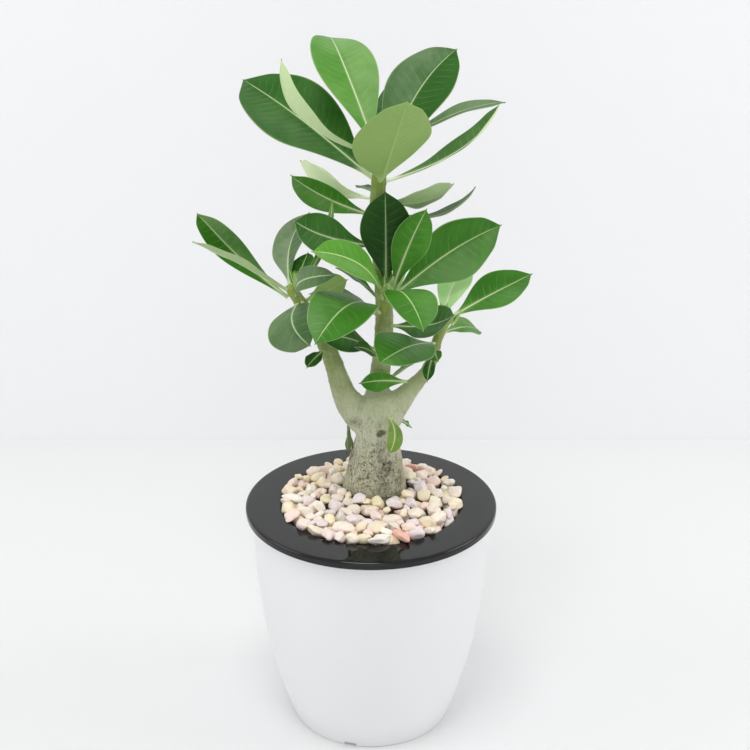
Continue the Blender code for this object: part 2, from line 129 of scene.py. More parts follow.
# Stems: x, y, z and radius in mm, from the foot up
STEMS = {
    "trunk": (
        (2.3, 13.5, 82, 9), (2.3, 13.5, 90, 15), (2.3, 13.5, 106, 19.5), (2.3, 13.5, 131, 21.6),
        (2.3, 13.5, 156, 21.6), (2.8, 13.5, 169, 19.6), (3.4, 13.5, 183, 17), (3.9, 13.3, 194, 14.9),
        (4, 13.2, 204, 14), (4.2, 13.2, 212, 15.3), (6.2, 13.6, 219, 14), (7.4, 14.5, 225, 10.5),
        (7.6, 15.4, 228.5, 5),
    ),
    "left": (
        (-2, 13.4, 208, 11.5), (-9, 13.2, 215, 10.5), (-16, 12.4, 225, 8.2), (-20.5, 11, 238, 6.8),
        (-25, 9, 254, 5.8), (-31, 7, 269, 5), (-38.5, 6, 284, 4.3), (-46, 6, 296, 3.8),
        (-50.6, 6, 303, 3.2), (-51.6, 6, 304.8, 1.5),
    ),
    "right": (
        (8.4, 13.6, 209, 11.6), (13.4, 13.6, 217, 10), (21.2, 13.8, 225.2, 7.2), (29.3, 14, 234.7, 5.1),
        (36, 13.5, 243.5, 4.2), (40, 13, 254, 3.7), (42.3, 12.6, 265, 3.3), (46.5, 12.2, 275, 2.9),
        (51, 12, 282, 2.4), (52, 12, 283.6, 1.1),
    ),
    "leader": (
        (3.5, 15.5, 210, 11), (4.6, 18.5, 228, 7.8), (6.6, 19, 246, 6.4), (8.2, 18.2, 266, 6),
        (8.4, 18.5, 286, 5.7), (7.2, 20, 304, 5.3), (5.2, 21, 326, 5), (3.9, 21, 345, 4.8),
        (4.6, 20.5, 362, 4.7), (5.6, 20, 377, 4.4), (5.4, 19.6, 388, 3.6), (5.3, 19.4, 392, 1.6),
    ),
    "heart": (
        (8.3, 17.5, 277, 4.6), (9, 12, 286, 4.7), (9.3, 8.5, 294, 4.3), (9.2, 6.5, 301, 3.4),
        (9.2, 6.2, 303, 1.5),
    ),
}
BED_TRUNK = [value * MM for value in STEMS["trunk"][4]]  # where it leaves the pebbles
STEM_SIDES = 40
STEM_SUBSTEPS = 8  # rings between two stations
STEM_LEAST = 0.4 * MM
BARK_VOXEL = 0.85 * MM
FORKS = ((196, 250), (272, 292))  # heights in mm between which the joins are smoothed
FORK_SMOOTHINGS = 7
RING_SPACING = 11 * MM  # between the raised rings on the young stems
SCAR = Vector((6.5, -1.5, 205.5)) * MM  # where a leaf broke off the front of the trunk
SCAR_HALVES = (3.4 * MM, 2.5 * MM)
# Dark places on the front of the trunk, partly dark bark and grime and partly painted shade: a leaf's shadow
# below the scar, the crotch under the left fork and the foot by the pebbles. Each is x, height, half width
# and half height in mm, and strength
GRIME_AND_SHADE = (
    (7.5, 194, 3, 9, 0.65), (10, 182, 4.8, 5, 1.2), (8, 170, 5, 7, 0.8), (-13, 187, 3.8, 5, 0.85),
    (-15, 176, 3, 4, 0.5), (-8, 160, 8, 3.5, 0.75), (13, 159, 7, 3.5, 0.85), (-10, 211, 5, 3, 0.8),
    (18, 172, 3, 6, 0.6), (-1, 178, 3, 4, 0.35),
)
BARK_TINTS = (  # height in mm and colour, from the pebbles to the shoot tips
    (150, (0.39, 0.365, 0.24)),
    (180, (0.53, 0.515, 0.36)),
    (205, (0.6, 0.62, 0.445)),
    (222, (0.475, 0.515, 0.325)),
    (240, (0.33, 0.385, 0.175)),
    (262, (0.22, 0.285, 0.08)),
    (400, (0.145, 0.235, 0.022)),
)
LEFT_TINT = Vector((0.14, 0.2, 0.05))  # the left branch is darker
TIP_TINT = Vector((0.3, 0.4, 0.06))
SCAR_TINT = Vector((0.05, 0.028, 0.016))
ROUGH_ENDS = (200, 245)  # heights in mm over which the rough bark turns smooth
AGE_ENDS = (178, 232)  # and loses its specks
LEFT_ENDS = (6, 44)  # distances in mm left of the axis over which it turns to the left tint
TIP_ENDS = (4, 26)  # and from a shoot tip over which that tint fades

# Leaf blades
LEAF_STEPS = 24
PETIOLE_HALF = 1.3 * MM
PETIOLE_THICKNESS = 2.0 * MM
PETIOLE_END = 0.12
FOOT_SHARE = 0.04  # this first part of the stalk is stretched
FOOT_SINK = 1.6 * MM  # to end this far nearer the stem
BEND_LATENESS = 1.6  # a larger number moves the bend towards the tip
MUCRO = 1.3 * MM  # small point at the tip
MUCRO_START = 0.985  # share of the length
BLADE_LEAST = 0.25 * MM  # half width at the very tip
BLADE_ROWS = 46
BLADE_COLUMNS = 18
BLADE_THICKNESS = 0.75 * MM
MARGIN_THICKNESS = 0.35 * MM
RIB_HEIGHT = 1.0 * MM  # how far the midrib stands out below, at its foot
RIB_HALF = 1.1 * MM
GROOVE_DEPTH = 0.35 * MM


@dataclass
class Leaf:
    """Lengths in mm and angles in degrees. They are those of the solids, but left_2 is more slender. Wave is
    how far the margin swings. The last field is how much painted sheen, a grey painted reflection, lies on
    one half of the upper side, on the side of the midrib that its sign tells; the other half is painted
    darker."""

    stem: str
    height: float
    azimuth: float
    elevation: float
    length: float
    width: float
    roll: float
    bend: float
    sway: float
    twist: float
    fold: float = 12
    belly: float = 1.5
    tone: str = "deep"
    wave: float = 0.5
    # How much painted sheen lies on one half of the upper side, and on which half
    painted_sheen: float = 0


# Stem, height, azimuth, elevation, length, width, roll, bend, sway and twist, then what is unusual
LEAVES = {
    "crown_1": Leaf("leader", 368, 140, 27, 124, 52, -19, -17, 1, -12, belly=1.3, wave=1.2, painted_sheen=0.3),
    "crown_2": Leaf("leader", 386, 195, 18, 86, 19, 19, 81, 18, 7, fold=16, tone="pale"),
    "crown_3": Leaf("leader", 386, 125, 56, 107, 41, -3, -66, -24, -15, belly=1.3, tone="fresh", painted_sheen=-0.45),
    "crown_4": Leaf("leader", 370, -76, 44, 82, 47, 9, 8, 2, -14, belly=1, tone="olive"),
    "crown_5": Leaf("leader", 370, 54, 60, 96, 42, 10, -30, -25, 0, wave=1.0, painted_sheen=0.8),
    "crown_6": Leaf("leader", 374, 88, 35, 68, 20, -47, -3, -9, -2),
    "crown_7": Leaf("leader", 385, 2, 36, 78, 19, -6, -33, -6, 15, tone="grey_sheen", painted_sheen=0.3),
    "crown_8": Leaf("leader", 368, -3, 19, 90, 15, 34, 60, -1, -5, fold=45, tone="frost"),
    "tier_1": Leaf("leader", 346, 180, 19, 54, 20, -92, 0, -27, -25, tone="green", painted_sheen=0.5),
    "tier_2": Leaf("leader", 356, 161, 2, 57, 28, 47, 54, 11, 6, tone="frost", wave=0.8),
    "tier_3": Leaf("leader", 360, 120, -5, 20, 10, 5, 0, 0, 0),
    "tier_4": Leaf("leader", 354, 5, -5, 47, 26, -49, 55, 0, 6, tone="silver"),
    "tier_5": Leaf("leader", 346, 12, -14, 64, 14, 0, 73, -2, -12, tone="grey_sheen"),
    "tier_6": Leaf("leader", 327, -149, 16, 63, 25, -66, 20, -18, -4),
    "centre_1": Leaf("heart", 300, 90, 86, 62, 32, 2, 12, 2, 0, tone="shade"),
    "centre_2": Leaf("heart", 300, -8, 72, 56, 23, 98, 0, -10, 8, tone="green"),
    "centre_3": Leaf("heart", 299, -106, 52, 74, 24, -68, -76, 5, -8, tone="young", painted_sheen=0.42),
    "centre_4": Leaf("heart", 297, -142, 46, 40, 18, -25, -19, 1, 5),
    "centre_5": Leaf("heart", 295, 18, 37, 81, 43, 87, 16, -13, 16, tone="green", wave=0.9, painted_sheen=-0.6),
    "centre_6": Leaf("heart", 297, -78, 38, 74, 31, -7, -97, 18, 16, belly=2.2, tone="green", painted_sheen=0.35),
    "right_1": Leaf("leader", 274, -30, 7, 49, 27, 28, 36, 9, 2),
    "right_2": Leaf("right", 276, 65, 57, 45, 21, 8, -30, -23, -2, tone="light", painted_sheen=-0.3),
    "right_3": Leaf("right", 282, 42, 12, 64, 28, 37, 18, -21, -22, tone="green", painted_sheen=-0.35),
    "right_4": Leaf("right", 270, 46, 1, 33, 21, 22, -30, -15, -6, belly=2, tone="fresh", painted_sheen=0.3),
    "right_5": Leaf("right", 264, -120, 19, 63, 38, 0, -36, 0, -25, tone="green", wave=0.9, painted_sheen=0.5),
    "right_6": Leaf("right", 255, -105, -20, 18, 7, 0, -50, 0, 0),
    "right_7": Leaf("right", 259, -90, 5, 13, 8, 30, -38, 0, 0, tone="green"),
    "left_1": Leaf("left", 300.5, 182, 40, 87, 17, -69, 50, -28, -25, tone="green", painted_sheen=-0.85),
    "left_2": Leaf("left", 304, 208, 37, 70, 8.4, 32, -6, -9, -1, fold=20, tone="silver"),
    "left_3": Leaf("left", 304, 98, 24, 67, 28, -43, -20, -41, 5, tone="grey_sheen", painted_sheen=0.8),
    "left_4": Leaf("left", 302, 72, 24, 30, 16, -22, 5, 0, 10),
    "left_5": Leaf("left", 299, -90, 39, 55, 14, 80, -86, -8, 10, tone="grey_sheen", painted_sheen=0.3),
    "left_6": Leaf("left", 292, 20, 21, 28, 19, -78, 0, 0, 0, tone="olive"),
    "left_7": Leaf("left", 293, -50, -20, 13, 7, -10, -30, 0, 0, tone="grey_sheen"),
    "left_8": Leaf("left", 294, -108, -10, 38, 36, 27, -112, 35, 22, belly=1.1, tone="grey_sheen", painted_sheen=-0.4),
    "left_9": Leaf("left", 263, -115, -2, 21, 9, -17, -20, 3, 2),
    "left_10": Leaf("left", 300, -16, 57, 61, 5, 130, -49, 10, 0, tone="olive", wave=0),
    "low_1": Leaf("heart", 288, -116, 36, 84, 38, -3, -92, 13, -14, tone="green", wave=1.0, painted_sheen=-0.45),
    "low_2": Leaf("leader", 280, 150, 23, 46, 27, 20, -40, 21, -6),
    "low_3": Leaf("leader", 258, -140, 35, 44, 27, -28, -40, 0, -18),
    "low_4": Leaf("leader", 254, -112, 38, 31, 11, -48, -30, 0, 0),
    "low_5": Leaf("right", 232, 187, 8, 30, 15, -96, 22, 8, -7, tone="green"),
    "low_6": Leaf("leader", 236, 30, 20, 28, 14, -20, 10, 0, 0),
    "trunk_1": Leaf("trunk", 217, -68, -14, 27, 11, -24, -88, -21, 0, tone="lime"),
    "trunk_2": Leaf("right", 212, 34, -36, 12, 4, 34, -12, -4, 0, tone="grey_sheen"),
    "trunk_3": Leaf("left", 212, 190, -92, 17, 6, -30, -20, 0, 0, tone="moss"),
}
BRIGHT_NODES = ("centre_2", "centre_3", "low_5", "trunk_1")  # those in the record's bright slot

# Leaf colours: upper side, its lighter clouds, underside, midrib
PALE_TOP = ((0.06, 0.165, 0.034), (0.105, 0.24, 0.062))
TONES = {
    "deep": ((0.017, 0.095, 0.006), (0.042, 0.16, 0.017), (0.33, 0.47, 0.21), (0.48, 0.6, 0.32)),
    "shade": ((0.008, 0.048, 0.003), (0.018, 0.082, 0.008), (0.26, 0.38, 0.16), (0.34, 0.46, 0.22)),
    "green": ((0.03, 0.155, 0.006), (0.07, 0.25, 0.022), (0.32, 0.5, 0.2), (0.54, 0.66, 0.34)),
    "fresh": ((0.062, 0.24, 0.018), (0.17, 0.365, 0.08), (0.33, 0.5, 0.2), (0.62, 0.72, 0.44)),
    "young": ((0.06, 0.26, 0.01), (0.15, 0.375, 0.055), (0.34, 0.52, 0.18), (0.62, 0.72, 0.34)),
    "lime": ((0.13, 0.24, 0.035), (0.23, 0.37, 0.08), (0.34, 0.5, 0.16), (0.6, 0.7, 0.3)),
    "olive": ((0.085, 0.19, 0.045), (0.14, 0.26, 0.07), (0.31, 0.47, 0.145), (0.44, 0.6, 0.22)),
    # Painted light: a pale green made brighter, to stand for light on a leaf that lies in shade
    "light": ((0.42, 0.74, 0.28), (0.52, 0.82, 0.36), (0.4, 0.58, 0.26), (0.8, 0.86, 0.65)),
    "pale": (*PALE_TOP, (0.58, 0.74, 0.39), (0.66, 0.76, 0.48)),
    "frost": (*PALE_TOP, (0.78, 0.91, 0.57), (0.84, 0.93, 0.66)),
    "silver": (*PALE_TOP, (0.42, 0.56, 0.28), (0.56, 0.68, 0.4)),
    "moss": ((0.045, 0.085, 0.022), (0.09, 0.14, 0.045), (0.115, 0.165, 0.062), (0.24, 0.32, 0.14)),
    # A greyed green, partly the leaf's own colour and partly painted sheen
    "grey_sheen": ((0.05, 0.12, 0.034), (0.12, 0.215, 0.08), (0.28, 0.41, 0.2), (0.48, 0.6, 0.34)),
}
PAINTED_SHEEN_ADD = (0.115, 0.115, 0.1)  # painted sheen: what the painted reflection adds to the clouds' colour
LATERAL_SPACING = 5.6  # mm between side veins

# Young leaves at the shoot tips: stem, height, how many, shortest and longest in mm
SPROUTS = {
    "left": (303, 7, 7, 13),
    "right": (282, 6, 4, 8),
    "heart": (301.5, 7, 7, 14),
    "leader": (390, 6, 8, 15),
}
SPROUT_DEPTH = 3  # mm from the lowest to the highest
SPROUT_WIDTH = 0.36  # share of the length
SPROUT_LIFTS = (52, 82)  # elevation in degrees of the lowest and the highest
GOLDEN_TURN = 137.5

# Camera and stage, set to match the photograph
CAMERA_PLACE = (0.0026, -0.881, 0.613)
CAMERA_PITCH = 22.6  # degrees below the horizon
CAMERA_LENS = 72
CAMERA_SENSOR = 36
WALL_DISTANCE = 0.429
WALL_CORNERS = ((-1.0, 0, -0.001), (1.0, 0, -0.001), (1.0, 0, 1.4), (-1.0, 0, 1.4))
FLOOR_CORNERS = ((-6, -6, 0), (6, -6, 0), (6, 6, 0), (-6, 6, 0))
LIGHTS = (  # name, place, height on the axis at which it points, size in metres and watts
    ("top", (-0.15, -0.5, 1.6), 0.25, 0.6, 6.5),
    ("left", (-1.2, -0.15, 0.75), 0.25, 0.8, 2.9),
    ("right", (1.25, -0.05, 0.75), 0.25, 0.8, 4.3),
    ("front", (0, -1.7, 0.35), 0.12, 1.0, 2.6),
)


def add_object(name, data):
    obj = bpy.data.objects.new(name, data)
    SCENE.collection.objects.link(obj)
    return obj


def as_object(name, bm, smooth_angle=None):
    bmesh.ops.recalc_face_normals(bm, faces=bm.faces)
    mesh = bpy.data.meshes.new(name)
    bm.to_mesh(mesh)
    bm.free()
    mesh.shade_smooth()
    if smooth_angle is not None:
        mesh.set_sharp_from_angle(angle=math.radians(smooth_angle))
    return add_object(name, mesh)


def apply_modifiers(obj):
    graph = bpy.context.evaluated_depsgraph_get()
    mesh = bpy.data.meshes.new_from_object(obj.evaluated_get(graph))
    obj.modifiers.clear()
    obj.data = mesh


def cut(obj, tools):
    """Cuts the tools out of obj and removes them."""
    for tool in tools:
        modifier = obj.modifiers.new("cut", "BOOLEAN")
        modifier.operation = "DIFFERENCE"
        modifier.solver = "EXACT"
        modifier.object = tool
    apply_modifiers(obj)
    for tool in tools:
        bpy.data.objects.remove(tool)


def dress(obj, look, slot, *nodes):
    """Gives a finished piece its look and body, and hides the CAD nodes that it stands for. The slot is not
    used.
    """
    obj.data.materials.clear()
    obj.data.materials.append(look.material)
    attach(obj, "root")
    if nodes:
        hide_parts(*nodes)


class Look:
    """A material and its nodes. Values are numbers, vectors, colours or the outputs of other nodes."""

    def __init__(self, name, colour, **values):
        self.material = bpy.data.materials.new(name)
        self.material.use_nodes = True
        self.material.diffuse_color = (*colour, 1)
        self.tree = self.material.node_tree
        self.shader = self.tree.nodes["Principled BSDF"]
        self.places = {}
        self.shade(Base_Color=colour, **values)

    def plug(self, socket, value):
        if isinstance(value, bpy.types.NodeSocket):
            self.tree.links.new(value, socket)
        else:
            socket.default_value = (*value, 1) if socket.type == "RGBA" else value

    def shade(self, **values):
        """Gives the shader's sockets their values."""
        for key, value in values.items():
            self.plug(self.shader.inputs[key.replace("_", " ")], value)

    def node(self, kind, inputs=(), **settings):
        node = self.tree.nodes.new(kind)
        for key, value in settings.items():
            setattr(node, key, value)
        for key, value in dict(inputs).items():
            self.plug(node.inputs[key], value)
        return node

    def calc(self, operation, first, second=0.0):
        return self.node("ShaderNodeMath", {0: first, 1: second}, operation=operation).outputs[0]

    times = partialmethod(calc, "MULTIPLY")
    plus = partialmethod(calc, "ADD")
    minus = partialmethod(calc, "SUBTRACT")

    def scaled(self, value, factor, base):
        """The value times the factor, added to the base."""
        return self.plus(self.times(value, factor), base)

    def mix(self, factor, first, second):
        inputs = {0: factor, 6: first, 7: second}
        return self.node("ShaderNodeMix", inputs, data_type="RGBA").outputs[2]

    def coats(self, colour, *coats):
        """Lays coats over a colour. Each is its mask, the most that it covers, and its own colour."""
        for mask, most, over in coats:
            colour = self.mix(self.times(mask, most), colour, over)
        return colour

    def step(self, value, low, high):
        """0 below low and 1 above high, with a smooth step between them. High may be the lower one."""
        inputs = {"Value": value, "From Min": low, "From Max": high}
        return self.node("ShaderNodeMapRange", inputs, interpolation_type="SMOOTHSTEP").outputs[0]

    def place(self, stretch=(1, 1, 1)):
        """The point on the object in metres, each axis times its stretch."""
        if stretch not in self.places:
            point = self.node("ShaderNodeTexCoord").outputs["Object"]
            mapping = self.node("ShaderNodeMapping", {"Vector": point, "Scale": stretch})
            self.places[stretch] = mapping.outputs[0]
        return self.places[stretch]

    def noise(self, scale, detail, roughness=0.5, stretch=(1, 1, 1)):
        inputs = {"Vector": self.place(stretch), "Scale": scale, "Detail": detail, "Roughness": roughness}
        return self.node("ShaderNodeTexNoise", inputs).outputs[0]

    def patches(self, scale, detail, low, high, roughness=0.5):
        """Noise cut to patches: 1 where it's beyond high, and 0 where it doesn't reach low."""
        return self.step(self.noise(scale, detail, roughness), low, high)

    def bump(self, height, distance, strength=1.0, **below):
        inputs = {"Height": height, "Distance": distance, "Strength": strength, **below}
        return self.node("ShaderNodeBump", inputs).outputs[0]

    def attribute(self, name, output):
        return self.node("ShaderNodeAttribute", attribute_name=name).outputs[output]

    def parts(self, vector):
        return self.node("ShaderNodeSeparateXYZ", {0: vector}).outputs


def white_look():
    """Satin white resin: faint clouds, a fine orange-peel surface, and a colour darker in patches towards the
    floor.
    """
    look = Look("white_resin", (0.81, 0.82, 0.83), Roughness=0.42)
    height = look.parts(look.place())["Z"]
    # Darker in patches towards the floor, within 22 mm of it
    dust = look.times(look.step(height, 0.022, 0.0), look.noise(160, 5, 0.7))
    colour = look.mix(look.noise(14, 4), (0.795, 0.805, 0.82), (0.825, 0.83, 0.835))
    look.shade(Base_Color=look.coats(colour, (dust, 0.35, (0.62, 0.61, 0.58))),
               Roughness=look.scaled(look.patches(55, 4, 0.0, 1.0), 0.16, 0.34),
               Normal=look.bump(look.noise(900, 2), 0.00006, 0.5))
    return look


def black_look():
    """Glossy black resin with specks of dust and faint rubbed patches."""
    look = Look("black_resin", BLACK_RESIN, Roughness=0.12, Specular_IOR_Level=0.41)
    dust = look.times(look.patches(850, 2, 0.72, 0.8), look.patches(30, 3, 0.45, 0.7))
    rough = look.scaled(look.noise(38, 5, 0.6), 0.05, 0.015)
    look.shade(Base_Color=look.coats(BLACK_RESIN, (dust, 0.5, (0.13, 0.125, 0.115))),
               Roughness=look.plus(rough, look.times(dust, 0.3)),
               Normal=look.bump(look.noise(70, 2), 0.0002, 0.15))
    return look


def soil_look():
    """Dark crumbly potting soil with paler grit."""
    look = Look("potting_soil", (0.05, 0.033, 0.022), Roughness=0.95)
    crumbs = look.noise(420, 6, 0.7)
    colour = look.mix(crumbs, (0.018, 0.012, 0.008), (0.1, 0.066, 0.043))
    grit = look.patches(900, 1, 0.68, 0.74)
    look.shade(Base_Color=look.coats(colour, (grit, 0.5, (0.34, 0.28, 0.21))),
               Normal=look.bump(crumbs, 0.0018))
    return look


def pebble_look():
    """Tumbled stone in the stone's own colour, with soft bands, specks and chalky patches."""
    look = Look("tumbled_stone", (0.8, 0.71, 0.6), Roughness=0.55)
    clouds = look.noise(260, 5, 0.6)
    bands = look.noise(480, 4, 0.6, (1, 0.35, 1.6))
    colour = look.coats(
        look.attribute("stone", "Color"),
        (look.step(clouds, 0.42, 0.72), 0.3, (0.93, 0.9, 0.85)),
        (look.patches(150, 3, 0.5, 0.68), 0.24, (0.84, 0.6, 0.42)),
        (look.step(bands, 0.56, 0.66), 0.24, (0.68, 0.5, 0.44)),
        (look.patches(1700, 2, 0.66, 0.74), 0.35, (0.4, 0.31, 0.25)),
    )
    pits = look.bump(look.noise(1500, 4, 0.65), 0.00015, 0.6)
    look.shade(Base_Color=colour, Roughness=look.scaled(clouds, 0.35, 0.4),
               Normal=look.bump(clouds, 0.0006, 0.7, Normal=pits))
    return look


def grit_look():
    """Sand and small chips in the gaps between the stones."""
    look = Look("stone_grit", GRIT_LIGHT, Roughness=0.9)
    chips = look.node("ShaderNodeTexVoronoi", {"Vector": look.place(), "Scale": 620}).outputs["Distance"]
    hue = look.mix(look.noise(260, 3), (0.12, 0.08, 0.05), (0.32, 0.25, 0.18))
    look.shade(Base_Color=look.mix(0.5, look.mix(chips, GRIT_LIGHT, (0.04, 0.026, 0.016)), hue),
               Normal=look.bump(look.minus(look.noise(700, 4), chips), 0.0012))
    return look


def bark_look():
    """Living bark in the tint of its place, with upright fibres, dark specks and pale flecks."""
    look = Look("living_bark", (0.33, 0.36, 0.26), Roughness=0.7, Specular_IOR_Level=0.3)
    age = look.attribute("age", "Fac")
    fibres = look.noise(640, 4, 0.65, (1, 1, 0.13))
    fibrous = look.plus(age, 0.12)
    cloudy = look.times(look.patches(110, 5, 0.4, 0.68, 0.6), look.plus(age, 0.2))
    blotch = look.times(look.patches(300, 4, 0.54, 0.64, 0.65), look.patches(85, 3, 0.36, 0.6))
    blotch = look.times(blotch, age)
    specks = look.times(look.patches(1050, 3, 0.55, 0.64, 0.6), age)
    # Patches that break up the grime and the painted shade
    grime_and_shade_patches = look.scaled(look.patches(430, 5, 0.44, 0.58, 0.7), 0.6, 0.4)
    colour = look.coats(
        look.attribute("tint", "Color"),
        (cloudy, 0.36, (0.52, 0.53, 0.42)),
        (look.times(look.step(fibres, 0.52, 0.36), fibrous), 0.42, (0.15, 0.145, 0.085)),
        (look.times(look.step(fibres, 0.54, 0.68), fibrous), 0.45, (0.6, 0.61, 0.5)),
        (blotch, 0.88, (0.095, 0.085, 0.042)),
        (specks, 0.8, (0.075, 0.062, 0.034)),
        # Grime and painted shade: the dark places on the front of the trunk
        (look.times(grime_and_shade_patches, look.attribute("grime_and_shade", "Fac")), 1, (0.045, 0.04, 0.018)),
        (look.times(look.patches(820, 3, 0.42, 0.34, 0.6), age), 0.45, (0.66, 0.65, 0.55)),
    )
    relief = look.minus(fibres, look.times(blotch, 0.6))
    relief = look.minus(relief, look.times(specks, 0.4))
    relief = look.times(relief, look.plus(age, 0.25))
    look.shade(Base_Color=colour, Roughness=look.scaled(age, 0.3, 0.48),
               Normal=look.bump(relief, 0.0007, 0.8))
    return look


def leaf_look(tone):
    """A leaf with a glossy surface and painted sheen. The blade attribute holds the share of the length, the
    share across and the side, and the reach attribute the distances along and across the blade in mm and how
    much painted sheen the leaf has."""
    upper, cloud, under, rib_colour = TONES[tone]
    look = Look("leaf_" + tone, cloud, Roughness=0.38, Specular_IOR_Level=0.17)
    along, across, side = look.parts(look.attribute("blade", "Vector"))
    # The third part is the leaf's painted sheen
    far, out, sheen_side = look.parts(look.attribute("reach", "Vector"))
    wide = look.calc("ABSOLUTE", across)
    off = look.calc("ABSOLUTE", out)
    clouds = look.noise(38, 4, 0.55)
    fine = look.noise(900, 3, 0.6)

    # Side veins leave the midrib at a slant, bend forward, and fade near the margin
    curl = look.times(look.calc("POWER", off, 2.0), 0.012)
    stagger = look.times(look.calc("GREATER_THAN", out, 0.0), 0.45 * LATERAL_SPACING)
    run = look.minus(far, look.plus(look.times(off, 0.38), curl))
    run = look.plus(look.plus(run, stagger), look.times(look.noise(55, 2), 6.0))
    wave = look.calc("PINGPONG", run, LATERAL_SPACING / 2)
    inner = look.step(wide, 0.95, 0.45)
    patchy = look.times(look.patches(90, 3, 0.32, 0.62), look.step(along, 0.06, 0.2))
    vein = look.times(look.times(look.step(wave, 0.42, 0.04), inner), patchy)

    # The midrib narrows from the stalk to the tip
    rib_half = look.scaled(look.minus(1.0, along), 0.68, 0.18)
    rib_halves = look.calc("DIVIDE", off, rib_half)
    rib = look.times(look.step(rib_halves, 1.0, 0.5), look.step(along, 1.0, 0.9))
    rib = look.calc("MAXIMUM", rib, look.step(along, 0.13, 0.03))

    # Painted sheen: one half of the blade is painted greyer, as a soft reflection, and the other half is
    # painted darker, in the purer green
    strength = look.calc("ABSOLUTE", sheen_side)
    half = look.step(look.times(across, sheen_side), -0.01, 0.1)
    sheen_patches = look.step(look.noise(46, 4, 0.6, (1, 1, 0.6)), 0.3, 0.66)
    sheen_mask = look.times(look.times(half, strength), look.scaled(sheen_patches, 0.75, 0.15))
    painted_shade_half = look.times(look.minus(1.0, half), strength)
    sheen_colour = tuple(0.75 * value + share for value, share in zip(cloud, PAINTED_SHEEN_ADD))

    top = look.coats(
        look.mix(look.step(clouds, 0.3, 0.72), upper, cloud),
        (fine, 0.22, cloud),
        (painted_shade_half, 0.7, upper),
        (sheen_mask, 1, sheen_colour),
        (vein, 0.15, rib_colour),
        (look.step(rib_halves, 3.4, 0.8), 0.16, rib_colour),
        (look.step(wide, 0.955, 1.0), 0.45, rib_colour),
        (rib, 1, rib_colour),
    )
    bottom = look.coats(
        look.mix(clouds, tuple(0.8 * value for value in under), under),
        (fine, 0.3, under),
        (vein, 0.16, rib_colour),
        (rib, 0.7, rib_colour),
    )
    relief = look.plus(look.times(wave, look.times(inner, 0.14)), look.times(fine, 0.1))
    look.shade(Base_Color=look.mix(side, bottom, top),
               Roughness=look.plus(look.scaled(side, -0.18, 0.54), look.times(clouds, 0.14)),
               Normal=look.bump(relief, 0.0005, 0.7))
    return look


# Shapes
def circle(count):
    """Cosine and sine of evenly spaced angles round a circle."""
    angles = [math.tau * i / count for i in range(count)]
    return [(math.cos(angle), math.sin(angle)) for angle in angles]


def join_rings(bm, rings):
    """Faces between closed rings of vertices."""
    for low, high in zip(rings, rings[1:]):
        for j in range(len(low)):
            k = (j + 1) % len(low)
            bm.faces.new((low[j], low[k], high[k], high[j]))


def ease(value, low, high):
    """A smooth step from 0 at low to 1 at high."""
    share = min(1, max(0, (value - low) / (high - low)))
    return share * share * (3 - 2 * share)


def turn_about(axis, degrees, share=1):
    return Matrix.Rotation(math.radians(degrees) * share, 3, axis)


# Pot and liner
def turned(name, profile):
    """A solid of revolution about Z. The profile's first and last points lie on the axis."""
    bm = bmesh.new()
    points = [bm.verts.new((radius, 0, height)) for radius, height in profile]
    edges = [bm.edges.new(pair) for pair in zip(points, points[1:])]
    bmesh.ops.spin(bm, geom=points + edges, axis=UP, steps=TURN_STEPS, angle=math.tau,
                   use_merge=True)
    bmesh.ops.remove_doubles(bm, verts=bm.verts, dist=0.002 * MM)
    return as_object(name, bm, 40)


def pot_radius(height):
    share = height / POT_HEIGHT
    return POT_BASE_RADIUS + (POT_TOP_RADIUS - POT_BASE_RADIUS) * (1 - (1 - share) ** POT_SWELL)


def cup_radius(height):
    share = (height - CUP_BASE - CUP_WALL) / (BRIM_TOP - CUP_BASE - CUP_WALL)
    foot = CUP_BASE_RADIUS - CUP_WALL
    return foot + (OPENING_RADIUS - foot) * share


def arc(radius, height, size, start, end, steps=8):
    """Points round a corner of a profile, between two angles in degrees."""
    angles = [math.radians(start + (end - start) * i / steps) for i in range(steps + 1)]
    return [(radius + size * math.cos(a), height + size * math.sin(a)) for a in angles]


def build_outer_pot():
    levels = [POT_HEIGHT * (i / POT_LEVELS) ** 1.3 for i in range(POT_LEVELS + 1)]
    outside = [(pot_radius(z), z) for z in levels if z > 2 * POT_FOOT_ROUND]
    inside = [(pot_radius(z) - POT_WALL, z) for z in reversed(levels) if z > POT_FLOOR]
    foot = arc(pot_radius(POT_FOOT_ROUND) - POT_FOOT_ROUND, POT_FOOT_ROUND, POT_FOOT_ROUND, -90, 0)
    inner_foot = (pot_radius(POT_FLOOR) - POT_WALL, POT_FLOOR)
    pot = turned("pot_shell", [(0, 0)] + foot + outside + inside + [inner_foot, (0, POT_FLOOR)])
    bm = bmesh.new()
    bmesh.ops.create_cube(bm, size=1)
    bmesh.ops.scale(bm, verts=bm.verts, vec=(4 * NOTCH_DEPTH, NOTCH_WIDTH, 2 * NOTCH_HEIGHT))
    bmesh.ops.bevel(bm, geom=list(bm.edges), offset=NOTCH_ROUND, segments=3, affect="EDGES")
    bmesh.ops.translate(bm, verts=bm.verts, vec=(POT_BASE_RADIUS + NOTCH_DEPTH, 0, 0))
    bmesh.ops.rotate(bm, verts=bm.verts, matrix=turn_about(UP, NOTCH_ANGLE))
    cut(pot, [as_object("notch", bm)])
    dress(pot, white_look(), "white_plastic", "outer_pot")


